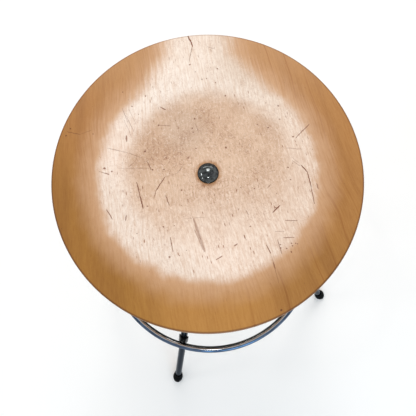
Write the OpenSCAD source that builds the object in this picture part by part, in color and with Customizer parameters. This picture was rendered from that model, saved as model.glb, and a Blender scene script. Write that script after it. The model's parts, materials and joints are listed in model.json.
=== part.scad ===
// Adjustable swivel stool: a round dished plywood seat on a threaded spindle,
// which turns in a nut at the top of a hub with four splayed tubular legs and a foot ring.
// Millimetres, +Z up. The origin is on the floor, on the spindle's axis.
// The legs stand on the X and Y axes, the front one towards -Y.

/* [Seat] */
// Diameter of the seat
seat_d = 380; // [340:5:420]
// Thickness of the plywood
seat_t = 10; // [9:0.5:14]
// Height of the flat underside in the middle of the seat
seat_z = 674; // [670:1:680]
// Depth of the dish from the rim to the middle
dish_depth = 6; // [2:1:12]
// Radius at which the dish starts to rise
dish_in = 64; // [64:1:100]
// Radius at which the rise ends
dish_out = 144; // [120:1:164]
// Diameter of the domed bolt head in the middle
bolt_head_d = 26; // [20:0.5:30]

/* [Spindle] */
// Outer diameter of the spindle's thread
spindle_d = 22; // [20:1:22]
// Rise of the seat for one full turn
lead = 8; // [6:1:10]
// How far the seat goes down from this height
drop = 105; // [90:5:120]
// How far the seat goes up from this height
rise = 35; // [10:5:45]

/* [Frame] */
// Diameter of the leg tubes
leg_d = 13; // [12:0.5:14]
// Wall of the leg tubes
leg_wall = 1.5; // [1:0.25:2]
// Lean of the legs from upright, in degrees
splay = 20.4; // [19:0.1:21.5]
// Distance of a leg's centre line from the axis at the floor
foot_r = 255.5; // [250:0.5:265]
// Outer diameter of the hub tube
hub_d = 38; // [36:1:42]
// Bore of the hub tube
hub_bore = 32; // [30:1:32]

/* [Foot ring] */
// Height of the foot ring's centre line
ring_z = 208; // [150:1:300]
// Diameter of the foot ring's tube
ring_tube_d = 12; // [10:0.5:14]
// Wall of the foot ring's tube
ring_wall = 1.5; // [1:0.25:2]
// Gap between a leg and the ring, filled by the saddle
saddle_gap = 2; // [1:0.5:4]

/* [Rubber] */
// Largest diameter of a foot cap
cap_d = 20.5; // [19:0.5:24]
// Length of a foot cap along its leg
cap_len = 30; // [24:1:36]

/* [Hidden] */
$fn = 96;
// Radial clearances of a running fit and of pieces that are pressed or screwed together
run_gap = 0.05;
fit_gap = 0.02;
// Radial clearance of a screw in a drilled hole, and clearance between two faces
hole_gap = 0.1;
axial_gap = 0.1;
// Space left between the moving and the fixed stops at each end of the travel
stop_gap = 0.3;
// Allowance that makes a cutting tool pass through a face
past = 1;

// Seat
seat_r = seat_d / 2;
edge_r = 2.5;
seat_top = seat_z + seat_t;
bolt_head_h = 6;
bolt_head_edge_h = 1.2;
bolt_d = 10;
bolt_len = 36;
bolt_end_room = 2;
neck_w = 10;
neck_h = 6;

// Flange under the seat and its wood screws
flange_d = 120;
flange_t = 4;
flange_z = seat_z - flange_t;
flange_hole_gap = 0.3;
weld_w = 2;
weld_edge_w = 0.4;
wood_screw_count = 4;
wood_screw_pcd = 95;
wood_screw_d = 4.5;
wood_screw_len = 8;
wood_screw_head_d = 9;
wood_screw_head_h = 3;
wood_screw_slot = [5, 1, 1.5];

// Hub, nut and stops. The stops leave the travel given by drop and rise.
nut_rim_t = 3;
buffer_bore = spindle_d + 2 * weld_w + 2;
buffer_h = 6 - stop_gap;
buffer_inset = 0.5;
hub_top = flange_z - drop - stop_gap - buffer_h - nut_rim_t;
nut_len = 27.5;
nut_bottom = hub_top - nut_len;
spindle_bottom = nut_bottom - rise - 2 * stop_gap;
washer_t = 3;
washer_gap = 1;
guide_t = 12;
guide_top = spindle_bottom - washer_t - axial_gap;
screw_d = 8;
screw_head_d = 13;
screw_head_h = 5;
screw_head_top = guide_top - guide_t - axial_gap;
screw_hex_r = 3.5;
screw_hex_h = 3;
screw_depth = 20;
plug_t = 10;
plug_rim_t = 3;
plug_chamfer = 1;
plug_room = 4;
hub_bottom = screw_head_top - screw_head_h - drop - plug_room - plug_t;
thread_depth = 1.4;
thread_plain = 14;

// Grub screw that holds the nut in the hub: how far below the hub's top, and how far into the nut
grub_d = 5;
grub_len = 5.6;
grub_down = 14;
grub_in = 2.9;
grub_hex_r = 1.4;
grub_hex_h = 1.7;

// Legs: the leaning tube bends over until it is level, where it meets the hub.
// The bend ends inside the hub's wall, which fixes its radius.
leg_top = hub_top - 10;
bend_x = hub_d / 2 - 2;
bend_r = (foot_r - leg_top * tan(splay) - bend_x) / (cos(splay) - (1 - sin(splay)) * tan(splay));
bend_z = leg_top - bend_r;
lean_top_z = bend_z + bend_r * sin(splay);
leg_end_z = 7;
lean_len = (lean_top_z - leg_end_z) / cos(splay);
front = -90;
right = 0;
back = 90;
left = 180;
sides = [front, right, back, left];

// Foot ring: it passes outside the legs, and a saddle fills the gap to each leg
leg_at_ring = foot_r - ring_z * tan(splay);
leg_half_level = leg_d / 2 / cos(splay);
ring_r = leg_at_ring + leg_half_level + saddle_gap + ring_tube_d / 2;
saddle_d = leg_d + 5;
saddle_len = 20;
ring_screw_d = 5;
ring_screw_head_d = 8.5;
ring_screw_head_h = 3;
ring_screw_chamfer = 1;
ring_screw_hex_r = 1.7;
ring_screw_hex_h = 2;
ring_screw_in = leg_at_ring - leg_half_level - ring_screw_head_d / 2 * tan(splay) - axial_gap;

// Foot cap: its wall at the lip, how far it draws in at the floor, the lip's round, and its thick sole
cap_wall = 1.6;
cap_tuck = 1.2;
cap_lip_r = 1.2;
cap_sole = 6;

// Colours
varnished_wood = [0.70, 0.50, 0.31];
dark_chrome = [0.30, 0.32, 0.34];
leg_steel = [0.25, 0.27, 0.30];
ring_chrome = [0.45, 0.55, 0.65];
bare_steel = [0.55, 0.56, 0.57];
black_rubber = [0.06, 0.06, 0.06];
pale_plastic = [0.85, 0.84, 0.80];

// Height of the seat's surface above its middle at radius r
function dish(r) =
    r < dish_in ? 0 :
    r > dish_out ? dish_depth :
    dish_depth * (1 - cos(180 * (r - dish_in) / (dish_out - dish_in))) / 2;

// A quarter of a circle, from angle a, as points round the centre c
function quarter(c, r, a) = [for (i = [0:4]) c + r * [cos(a + i * 22.5), sin(a + i * 22.5)]];

// Outline of half the seat: underside, rounded edge, upper side
function seat_outline() = let (
        rim = seat_r - edge_r,
        low = seat_z + dish_depth,
        radii = [for (i = [0:10]) dish_in + (dish_out - dish_in) * i / 10])
    concat(
        [[0, seat_z]],
        [for (r = radii) [r, seat_z + dish(r)]],
        quarter([rim, low + edge_r], edge_r, -90),
        quarter([rim, low + seat_t - edge_r], edge_r, 0),
        [for (i = [10:-1:0]) [radii[i], seat_top + dish(radii[i])]],
        [[0, seat_top]]);

// A ring-shaped solid between two radii
module ring(outer_r, inner_r, height) {
    difference() {
        cylinder(h = height, r = outer_r);
        translate([0, 0, -past]) cylinder(h = height + 2 * past, r = inner_r);
    }
}

// Places its children at each wood screw of the flange
module at_wood_screws() {
    for (i = [0:wood_screw_count - 1])
        rotate([0, 0, 45 + i * 360 / wood_screw_count]) translate([wood_screw_pcd / 2, 0, 0]) children();
}

module seat_shell() {
    color(varnished_wood) difference() {
        rotate_extrude() polygon(seat_outline());
        translate([0, 0, seat_z - past]) cylinder(h = seat_t + 2 * past, r = bolt_d / 2 + fit_gap);
        translate([0, 0, seat_top - neck_h / 2 + past / 2])
            cube([neck_w + 2 * fit_gap, neck_w + 2 * fit_gap, neck_h + past], center = true);
        at_wood_screws() translate([0, 0, seat_z - past])
            cylinder(h = wood_screw_len + past + fit_gap, r = wood_screw_d / 2 + fit_gap);
    }
}

// Coach bolt: a dome, a square neck in the wood and a round shank in the spindle
module seat_bolt() {
    dome_h = bolt_head_h - bolt_head_edge_h;
    dome_r = (pow(bolt_head_d / 2, 2) + pow(dome_h, 2)) / (2 * dome_h);
    color(dark_chrome) union() {
        translate([0, 0, seat_top]) cylinder(h = bolt_head_edge_h, r = bolt_head_d / 2);
        intersection() {
            translate([0, 0, seat_top + bolt_head_h - dome_r]) sphere(r = dome_r);
            translate([0, 0, seat_top + bolt_head_edge_h]) cylinder(h = dome_h + past, r = bolt_head_d);
        }
        translate([0, 0, seat_top - neck_h / 2]) cube([neck_w, neck_w, neck_h], center = true);
        translate([0, 0, seat_top - bolt_len]) cylinder(h = bolt_len, r = bolt_d / 2);
    }
}

// Steel plate with the weld that holds it to the spindle
module seat_flange() {
    color(bare_steel) difference() {
        union() {
            translate([0, 0, flange_z]) cylinder(h = flange_t, r = flange_d / 2);
            translate([0, 0, flange_z - weld_w])
                cylinder(h = weld_w, r1 = spindle_d / 2 + weld_edge_w, r2 = spindle_d / 2 + weld_w);
        }
        translate([0, 0, flange_z - weld_w - past])
            cylinder(h = flange_t + weld_w + 2 * past, r = spindle_d / 2 + fit_gap);
        at_wood_screws() translate([0, 0, flange_z - past])
            cylinder(h = flange_t + 2 * past, r = wood_screw_d / 2 + flange_hole_gap);
    }
}

// Screws with a cross recess, from below through the flange into the seat
module flange_screws() {
    slot = wood_screw_slot;
    color(bare_steel) at_wood_screws() difference() {
        union() {
            translate([0, 0, flange_z - wood_screw_head_h])
                cylinder(h = wood_screw_head_h, r = wood_screw_head_d / 2);
            translate([0, 0, flange_z])
                cylinder(h = flange_t + wood_screw_len, r = wood_screw_d / 2);
        }
        for (turn = [0, 90]) rotate([0, 0, turn])
            translate([0, 0, flange_z - wood_screw_head_h])
                cube([slot[0], slot[1], 2 * slot[2]], center = true);
    }
}

// Threaded post. Rings stand for the turns of its thread.
module spindle() {
    crest = spindle_d / 2;
    root = crest - thread_depth;
    turns = floor((seat_z - thread_plain - spindle_bottom) / lead);
    // One groove: radius, and height as a share of the lead
    groove = [[crest, 0.25], [root, 0.4], [root, 0.725], [crest, 0.875]];
    thread_points = [for (i = [0:turns - 1], p = groove) [p[0], spindle_bottom + (i + p[1]) * lead]];
    color(bare_steel) difference() {
        rotate_extrude() polygon(concat(
            [[0, spindle_bottom], [root, spindle_bottom], [crest, spindle_bottom + thread_depth]],
            thread_points,
            [[crest, seat_z], [0, seat_z]]));
        translate([0, 0, seat_top - bolt_len - bolt_end_room])
            cylinder(h = bolt_len + bolt_end_room, r = bolt_d / 2 + fit_gap);
        translate([0, 0, spindle_bottom - past])
            cylinder(h = screw_depth + past + fit_gap, r = screw_d / 2 + fit_gap);
    }
}

module stop_washer() {
    color(bare_steel) translate([0, 0, spindle_bottom - washer_t])
        ring(hub_bore / 2 - washer_gap, screw_d / 2 + hole_gap, washer_t);
}

// Cap screw that holds the washer to the spindle, with the guide disc loose below the washer
module stop_screw() {
    color(dark_chrome) difference() {
        union() {
            translate([0, 0, screw_head_top - screw_head_h])
                cylinder(h = screw_head_h, r = screw_head_d / 2);
            translate([0, 0, screw_head_top])
                cylinder(h = spindle_bottom + screw_depth - screw_head_top, r = screw_d / 2);
        }
        translate([0, 0, screw_head_top - screw_head_h - past])
            cylinder(h = screw_hex_h + past, r = screw_hex_r, $fn = 6);
    }
}

// Plastic disc that runs in the hub's bore and keeps the spindle's lower end in the middle
module guide_disc() {
    color(pale_plastic) translate([0, 0, guide_top - guide_t])
        ring(hub_bore / 2 - run_gap, screw_d / 2 + run_gap, guide_t);
}

// Upright tube that the legs are welded to
module hub_tube() {
    color(leg_steel) difference() {
        translate([0, 0, hub_bottom]) ring(hub_d / 2, hub_bore / 2, hub_top - hub_bottom);
        at_grub() cylinder(h = hub_d, r = grub_d / 2 + fit_gap);
    }
}

// Places its children on the axis of the grub screw, between two legs
module at_grub() {
    translate([0, 0, hub_top - grub_down]) rotate([0, 0, 45]) rotate([0, 90, 0]) children();
}

// Plain bush with a rim that rests on the hub. The spindle's thread crests run in its bore.
module spindle_nut() {
    color(bare_steel) difference() {
        union() {
            translate([0, 0, nut_bottom]) cylinder(h = nut_len, r = hub_bore / 2 - fit_gap);
            translate([0, 0, hub_top]) cylinder(h = nut_rim_t, r = hub_d / 2);
        }
        translate([0, 0, nut_bottom - past])
            cylinder(h = nut_len + nut_rim_t + 2 * past, r = spindle_d / 2 + run_gap);
        at_grub() translate([0, 0, hub_bore / 2 - grub_in - axial_gap])
            cylinder(h = grub_in + axial_gap + past, r = grub_d / 2 + fit_gap);
    }
}

module nut_screw() {
    color(dark_chrome) at_grub() difference() {
        translate([0, 0, hub_bore / 2 - grub_in]) cylinder(h = grub_len, r = grub_d / 2);
        translate([0, 0, hub_bore / 2 - grub_in + grub_len - grub_hex_h])
            cylinder(h = grub_hex_h + past, r = grub_hex_r, $fn = 6);
    }
}

// Rubber ring that the flange meets at the bottom of the travel
module buffer_ring() {
    color(black_rubber) translate([0, 0, hub_top + nut_rim_t])
        ring(hub_d / 2 - buffer_inset, buffer_bore / 2, buffer_h);
}

// Plug that closes the hub's lower end
module hub_plug() {
    color(black_rubber) union() {
        translate([0, 0, hub_bottom - plug_rim_t])
            cylinder(h = plug_rim_t, r1 = hub_d / 2 - plug_chamfer, r2 = hub_d / 2);
        translate([0, 0, hub_bottom]) cylinder(h = plug_t, r = hub_bore / 2 - fit_gap);
    }
}

// The solid bar along a leg's centre line: the bend, and the leaning part that starts where it ends
module leg_bar(bar_r, extra = 0) {
    translate([bend_x, 0, bend_z]) rotate([90, 0, 0]) rotate([0, 0, splay]) {
        rotate_extrude(angle = 90 - splay) translate([bend_r, 0]) circle(r = bar_r);
        translate([bend_r, 0, 0]) rotate([90, 0, 0]) cylinder(h = lean_len + extra, r = bar_r);
    }
}

// Leg tube, coped to the hub and drilled for the foot ring's screw
module leg(side) {
    color(leg_steel) rotate([0, 0, side]) difference() {
        leg_bar(leg_d / 2);
        leg_bar(leg_d / 2 - leg_wall, past);
        translate([0, 0, hub_bottom]) cylinder(h = hub_top - hub_bottom, r = hub_d / 2 + fit_gap / 2);
        ring_screw_hole();
    }
}

// Room for a ring screw's shank, from under its head to the middle of the foot ring's tube
module ring_screw_hole() {
    translate([ring_screw_in, 0, ring_z]) rotate([0, 90, 0])
        cylinder(h = ring_r - ring_screw_in, r = ring_screw_d / 2 + hole_gap);
}

// Rubber cap over a leg's end: a sleeve that swells to a round foot, flat on the floor
module foot_cap(side) {
    bulge_r = cap_d / 2;
    bulge_z = cap_len * 0.3;
    lip_r = leg_d / 2 + cap_wall;
    lip_z = cap_len - cap_lip_r;
    low_r = bulge_r - cap_tuck;
    outer = concat(
        [[0, -cap_sole], [low_r, -cap_sole]],
        [for (i = [0:10]) let (t = i / 10)
            [low_r + (bulge_r - low_r) * sin(90 * t), bulge_z * t]],
        [for (i = [1:9]) let (t = i / 10)
            [lip_r + (bulge_r - lip_r) * (1 + cos(180 * t)) / 2, bulge_z + (lip_z - bulge_z) * t]],
        quarter([lip_r - cap_lip_r, lip_z], cap_lip_r, 0),
        [[0, cap_len]]);
    above_floor = 4 * cap_len;
    color(black_rubber) rotate([0, 0, side]) difference() {
        intersection() {
            translate([foot_r, 0, 0]) rotate([0, -splay, 0]) rotate_extrude() polygon(outer);
            translate([foot_r - above_floor / 2, -above_floor / 2, 0]) cube(above_floor);
        }
        translate([foot_r, 0, 0]) rotate([0, -splay, 0])
            translate([0, 0, leg_end_z / cos(splay) - fit_gap])
                cylinder(h = cap_len, r = leg_d / 2 + fit_gap);
    }
}

// Hollow ring, drilled on its inner side for the four screws
module foot_ring() {
    color(ring_chrome) difference() {
        translate([0, 0, ring_z]) rotate_extrude($fn = 180) translate([ring_r, 0]) difference() {
            circle(r = ring_tube_d / 2, $fn = 48);
            circle(r = ring_tube_d / 2 - ring_wall, $fn = 48);
        }
        for (side = sides) rotate([0, 0, side]) ring_screw_hole();
    }
}

// Black saddle that hugs a leg's outer half and carries the foot ring
module ring_saddle(side) {
    color(black_rubber) rotate([0, 0, side]) difference() {
        translate([leg_at_ring, 0, ring_z]) rotate([0, -splay, 0]) difference() {
            translate([0, 0, -saddle_len / 2]) cylinder(h = saddle_len, r = saddle_d / 2);
            translate([0, 0, -saddle_len]) cylinder(h = 2 * saddle_len, r = leg_d / 2 + fit_gap);
            translate([-saddle_d, 0, 0]) cube(2 * [saddle_d, saddle_d, saddle_len], center = true);
        }
        translate([0, 0, ring_z]) rotate_extrude($fn = 180) translate([ring_r, 0])
            circle(r = ring_tube_d / 2 + fit_gap, $fn = 48);
        ring_screw_hole();
    }
}

// Pan-head screws from the inner side of each leg into the foot ring
module ring_screws() {
    shank_len = ring_r - ring_screw_in;
    head_r = ring_screw_head_d / 2;
    color(dark_chrome) for (side = sides) rotate([0, 0, side])
        translate([ring_screw_in, 0, ring_z]) rotate([0, 90, 0]) difference() {
            union() {
                translate([0, 0, -ring_screw_head_h])
                    cylinder(h = ring_screw_head_h, r1 = head_r - ring_screw_chamfer, r2 = head_r);
                cylinder(h = shank_len, r = ring_screw_d / 2);
            }
            translate([0, 0, -ring_screw_head_h - past])
                cylinder(h = ring_screw_hex_h + past, r = ring_screw_hex_r, $fn = 6);
        }
}

seat_shell();
seat_bolt();
seat_flange();
flange_screws();
spindle();
stop_washer();
stop_screw();
guide_disc();
hub_tube();
spindle_nut();
nut_screw();
buffer_ring();
hub_plug();
leg(front);  // leg_front
leg(right);  // leg_right
leg(back);  // leg_back
leg(left);  // leg_left
foot_cap(front);  // foot_cap_front
foot_cap(right);  // foot_cap_right
foot_cap(back);  // foot_cap_back
foot_cap(left);  // foot_cap_left
foot_ring();
ring_saddle(front);  // ring_saddle_front
ring_saddle(right);  // ring_saddle_right
ring_saddle(back);  // ring_saddle_back
ring_saddle(left);  // ring_saddle_left
ring_screws();
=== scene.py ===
import json
from math import cos, exp, hypot, pi, radians, sin, sqrt, tan, tau

import bmesh
import bpy
from mathutils import Matrix, Vector, noise


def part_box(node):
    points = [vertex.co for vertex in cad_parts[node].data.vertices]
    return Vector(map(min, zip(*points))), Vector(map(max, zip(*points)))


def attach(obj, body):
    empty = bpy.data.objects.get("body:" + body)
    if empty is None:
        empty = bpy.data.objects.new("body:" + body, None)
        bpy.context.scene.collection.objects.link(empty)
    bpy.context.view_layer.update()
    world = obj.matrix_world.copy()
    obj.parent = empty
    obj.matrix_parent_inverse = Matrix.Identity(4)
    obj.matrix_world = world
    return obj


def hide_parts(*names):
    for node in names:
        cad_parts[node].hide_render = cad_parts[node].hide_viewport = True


# Adjustable swivel stool: the visible pieces and their materials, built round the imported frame.
# Everything is in metres with +Z up, and every size comes from the frame or from a value named here.

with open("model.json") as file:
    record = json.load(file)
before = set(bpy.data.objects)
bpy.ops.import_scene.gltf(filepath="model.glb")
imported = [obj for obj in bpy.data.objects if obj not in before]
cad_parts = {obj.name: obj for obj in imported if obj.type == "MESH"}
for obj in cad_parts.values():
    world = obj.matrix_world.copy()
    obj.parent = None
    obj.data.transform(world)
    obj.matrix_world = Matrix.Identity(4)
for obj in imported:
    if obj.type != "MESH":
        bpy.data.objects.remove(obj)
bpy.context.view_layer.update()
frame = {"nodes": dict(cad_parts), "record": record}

MM = 0.001

# The photographer stood a little to the right of the front leg, so "up" in the picture is this far round.
VIEW_TURN = radians(18.1)

# Seat, as in the CAD model
SEAT_THICKNESS = 10 * MM
DISH_INNER = 64 * MM
DISH_OUTER = 144 * MM
SEAT_EDGE_ROUND = 2.5 * MM
BOLT_HOLE = 5.02 * MM
BOLT_SHANK = 5 * MM
BOLT_HEAD_HEIGHT = 6 * MM
VENEERS = 7

# Flange under the seat, and the spindle's thread
FLANGE_THICKNESS = 4 * MM
FLANGE_HOLE = 11.02 * MM
FLANGE_SCREWS_FROM_AXIS = 47.5 * MM
LEAD = 8 * MM
THREAD_DEPTH = 1.4 * MM

# Hub and what it holds
HUB_BORE = 16 * MM
NUT_BORE = 11.05 * MM
NUT_RADIUS = 15.98 * MM
NUT_RIM = 3 * MM
BUFFER_BORE = 14 * MM
PLUG_RADIUS = 15.9 * MM
PLUG_RIM = 3 * MM

# Legs, and the ring's screws
LEAN = radians(20.4)
LEG_RADIUS = 6.5 * MM
LEG_END = 7 * MM
CAP_LENGTH = 30 * MM
RING_SCREW_HEAD = 4.25 * MM
RING_SCREW_SHANK = 2.45 * MM
SIDES = {"front": -90, "right": 0, "back": 90, "left": 180}

seat_low, seat_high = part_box("seat_shell")
SEAT_RADIUS = seat_high.y
SEAT_FLAT = SEAT_RADIUS - SEAT_EDGE_ROUND
RIM_TOP = seat_high.z
DISH_DEPTH = RIM_TOP - seat_low.z - SEAT_THICKNESS
CENTRE_TOP = RIM_TOP - DISH_DEPTH

# A leg's centre line, at the floor and at its top, and the hub's outside
foot_rests = {mount["name"]: mount["pos_m"] for mount in frame["record"]["mounts"]}
FOOT_DISTANCE = foot_rests["foot_rest_right"][0]
LEG_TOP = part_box("leg_right")[1].z - LEG_RADIUS
HUB_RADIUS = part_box("hub_tube")[1].x

ring_low, ring_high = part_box("foot_ring")
RING_TUBE = (ring_high.z - ring_low.z) / 2
RING_RADIUS = ring_high.x - RING_TUBE
RING_HEIGHT = (ring_high.z + ring_low.z) / 2

# Away from the viewer and to the viewer's right, in the horizontal plane
FAR = Vector((-sin(VIEW_TURN), cos(VIEW_TURN), 0))
SIDE = Vector((cos(VIEW_TURN), sin(VIEW_TURN), 0))

# The studio's lights lift a surface that faces up, so the wood is this share of the colour that is seen
WOOD_SHADE = (0.95, 0.89, 0.83)


# ---- shapes
# A shape is (vertices, faces).


def rounded(corners, steps=5):
    """An outline of (radius, height) points, from corners (radius, height, fillet)."""
    points = []
    for i, (r, z, fillet) in enumerate(corners):
        here = Vector((r, z))
        if fillet == 0 or i in (0, len(corners) - 1):
            points.append((r, z))
            continue
        before = Vector(corners[i - 1][:2]) - here
        after = Vector(corners[i + 1][:2]) - here
        start = here + before.normalized() * min(fillet, before.length * 0.49)
        end = here + after.normalized() * min(fillet, after.length * 0.49)
        for k in range(steps + 1):
            t = k / steps
            point = start * (1 - t) ** 2 + here * (2 * t * (1 - t)) + end * t**2
            points.append(tuple(point))
    return points


def circle(radius, height, steps):
    """Points round the stool's axis."""
    angles = [tau * i / steps for i in range(steps)]
    return [(radius * cos(a), radius * sin(a), height) for a in angles]


def skin(rings, closed=False):
    """The faces between each ring of points and the next."""
    faces = []
    for low, high in zip(rings, rings[1:] + (rings[:1] if closed else [])):
        for i in range(len(low)):
            j = (i + 1) % len(low)
            faces.append(tuple(dict.fromkeys((low[i], low[j], high[j], high[i]))))
    return faces


def revolve(outline, steps=96, closed=False):
    """The outline turned round the stool's axis. It runs from the bottom, outwards and up."""
    vertices, rings = [], []
    for r, z in outline:
        first = len(vertices)
        if r < 1e-7:
            vertices.append((0, 0, z))
            rings.append([first] * steps)
        else:
            vertices += circle(r, z, steps)
            rings.append(range(first, first + steps))
    return vertices, skin(rings, closed)


def tube(path, radius, sides=40, closed=False):
    """A round bar along a path. radius is a number, or a function of the place along the path, 0 to 1."""
    count = len(path)
    vertices, rings = [], []
    normal = None
    for i, point in enumerate(path):
        before = path[(i - 1) % count] if closed or i else point
        after = path[(i + 1) % count] if closed or i < count - 1 else point
        ahead = (Vector(after) - Vector(before)).normalized()
        if normal is None:
            normal = ahead.orthogonal()
        normal = (normal - ahead * normal.dot(ahead)).normalized()
        across = ahead.cross(normal)
        r = radius(i / (count - 1)) if callable(radius) else radius
        rings.append(range(len(vertices), len(vertices) + sides))
        for x, y, _ in circle(1, 0, sides):
            vertices.append(tuple(Vector(point) + r * (x * normal + y * across)))
    faces = skin(rings, closed)
    if not closed:
        faces += [tuple(reversed(rings[0])), tuple(rings[-1])]
    return vertices, faces


def moved(shape, matrix):
    """The shape, carried by a matrix."""
    vertices, faces = shape
    return [tuple(matrix @ Vector(v)) for v in vertices], faces


def joined(*shapes):
    """Several shapes as one."""
    vertices, faces = [], []
    for more_vertices, more_faces in shapes:
        first = len(vertices)
        vertices += more_vertices
        faces += [tuple(i + first for i in face) for face in more_faces]
    return vertices, faces


def turn(degrees):
    """A turn round the stool's axis."""
    return Matrix.Rotation(radians(degrees), 4, "Z")


def bead(path, radius, wave, waves, sides=12):
    """A closed run of weld metal, a little thicker at each of its waves."""
    return tube(path, lambda t: radius + wave * sin(t * tau * waves), sides, closed=True)


def placed(name, data):
    """A new object, linked into the scene."""
    thing = bpy.data.objects.new(name, data)
    bpy.context.scene.collection.objects.link(thing)
    return thing


def piece(name, shape, body, slot, stands_for=(), materials=(), sharp=32):
    """One visible piece: a smooth-shaded mesh that rides on a body and may stand for a CAD node.

    Its finish has the slot's name, unless it is given materials of its own.
    """
    mesh = bpy.data.meshes.new(name)
    mesh.from_pydata(shape[0], [], shape[1])
    mesh.validate()
    mesh.shade_smooth()
    mesh.set_sharp_from_angle(angle=radians(sharp))
    for material in materials or [FINISHES[slot]]:
        mesh.materials.append(material)
    thing = placed(name, mesh)
    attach(thing, body)
    if stands_for:
        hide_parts(*stands_for)
    return thing


# ---- materials


def colour(r, g, b):
    """A screen colour, 0 to 255, as the linear colour that a shader takes."""
    parts = [c / 255 for c in (r, g, b)]
    return tuple(c / 12.92 if c < 0.04045 else ((c + 0.055) / 1.055) ** 2.4 for c in parts) + (1,)


def wood(r, g, b):
    """A wood colour as it is seen, toned down by what the studio's lights add to it."""
    return tuple(c * shade for c, shade in zip(colour(r, g, b), WOOD_SHADE)) + (1,)


class Nodes:
    """Adds nodes to a tree. Each method returns the new node's result."""

    def __init__(self, tree):
        self.tree = tree

    def give(self, node, key, value):
        """Links a result to a node's input, or sets its value."""
        if isinstance(value, bpy.types.NodeSocket):
            self.tree.links.new(value, node.inputs[key])
        else:
            node.inputs[key].default_value = value

    def put(self, kind, inputs=None, **settings):
        node = self.tree.nodes.new(kind)
        for key, value in settings.items():
            setattr(node, key, value)
        for key, value in (inputs or {}).items():
            self.give(node, key, value)
        return node

    def math(self, operation, a, b=0, c=0):
        return self.put("ShaderNodeMath", {0: a, 1: b, 2: c}, operation=operation).outputs[0]

    def add(self, a, b):
        return self.math("ADD", a, b)

    def times(self, a, b):
        return self.math("MULTIPLY", a, b)

    def most(self, a, b):
        return self.math("MAXIMUM", a, b)

    def ramp(self, value, slope, start):
        return self.math("MULTIPLY_ADD", value, slope, start)

    def step(self, value, low, high):
        """0 below low and 1 above high, smooth between; the other way round if low is above high."""
        inputs = {"Value": value, "From Min": low, "From Max": high}
        return self.put("ShaderNodeMapRange", inputs, interpolation_type="SMOOTHSTEP").outputs[0]

    def vector(self, x, y, z=0):
        return self.put("ShaderNodeCombineXYZ", {0: x, 1: y, 2: z}).outputs[0]

    def parts(self, vector):
        return self.put("ShaderNodeSeparateXYZ", {0: vector}).outputs

    def vector_math(self, operation, a, b):
        return self.put("ShaderNodeVectorMath", {0: a, 1: b}, operation=operation).outputs

    def distance(self, a, b=(0, 0, 0)):
        return self.vector_math("DISTANCE", a, b)["Value"]

    def mapped(self, where, **inputs):
        return self.put("ShaderNodeMapping", {"Vector": where, **inputs}).outputs[0]

    def noise(self, where, scale, detail=2, roughness=0.5):
        inputs = {"Vector": where, "Scale": scale, "Detail": detail, "Roughness": roughness}
        return self.put("ShaderNodeTexNoise", inputs).outputs[0]

    def wander(self, where, scale, size, detail=2):
        """Noise from -size/2 to size/2."""
        return self.times(self.add(self.noise(where, scale, detail), -0.5), size)

    def cells(self, where, scale, channel=0):
        """Distance to the nearest of scattered points, and a chance for each point, 0 to 1."""
        cells = self.put("ShaderNodeTexVoronoi", {"Vector": where, "Scale": scale}).outputs
        return cells["Distance"], self.parts(cells["Color"])[channel]

    def hairs(self, where, degrees, spacing, length, share):
        """Fine broken lines in one direction, 0 to 1. share is how much of the surface they cover."""
        spun = self.mapped(where, Rotation=(0, 0, radians(degrees)))
        drawn_out = self.mapped(spun, Scale=(1 / spacing, 1 / length, 1))
        return self.step(self.noise(drawn_out, 1), 0.66 - share * 0.5, 0.72 - share * 0.4)

    def worms(self, where, scale, width):
        """Thin wandering lines, 0 to 1, along one level of a noise."""
        level = self.math("ABSOLUTE", self.add(self.noise(where, scale, 1.5), -0.5))
        return self.step(level, width, width * 0.3)

    def blend(self, kind, mask, share, a, b):
        factor = mask if share == 1 else self.times(mask, share)
        inputs = {0: factor, 6: a, 7: b}
        return self.put("ShaderNodeMix", inputs, data_type="RGBA", blend_type=kind).outputs[2]

    def mix(self, mask, a, b, share=1):
        """a, with this share of b where the mask is 1."""
        return self.blend("MIX", mask, share, a, b)

    def darken(self, base, mask, tint, share=1):
        """base, with this share of a screen colour multiplied in where the mask is 1."""
        return self.blend("MULTIPLY", mask, share, base, colour(*tint))


class Finish(Nodes):
    """Adds nodes to a new material. place is the object's own coordinates, in millimetres."""

    def __init__(self, name, inputs=None):
        self.material = bpy.data.materials.new(name)
        self.material.use_nodes = True
        super().__init__(self.material.node_tree)
        self.tree.nodes.clear()
        self.shader = self.put("ShaderNodeBsdfPrincipled", inputs)
        self.put("ShaderNodeOutputMaterial", {"Surface": self.shader.outputs[0]})
        place = self.put("ShaderNodeTexCoord").outputs["Object"]
        self.place = self.mapped(place, Scale=(1000, 1000, 1000))

    def made(self, base, roughness, height=None, bump_mm=0.1):
        """The material, with a colour, a roughness and a bump height."""
        self.give(self.shader, "Base Color", base)
        self.give(self.shader, "Roughness", roughness)
        if height is not None:
            bump = self.put("ShaderNodeBump", {"Height": height, "Distance": bump_mm * MM, "Strength": 1})
            self.give(self.shader, "Normal", bump.outputs[0])
        return self.material


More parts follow.
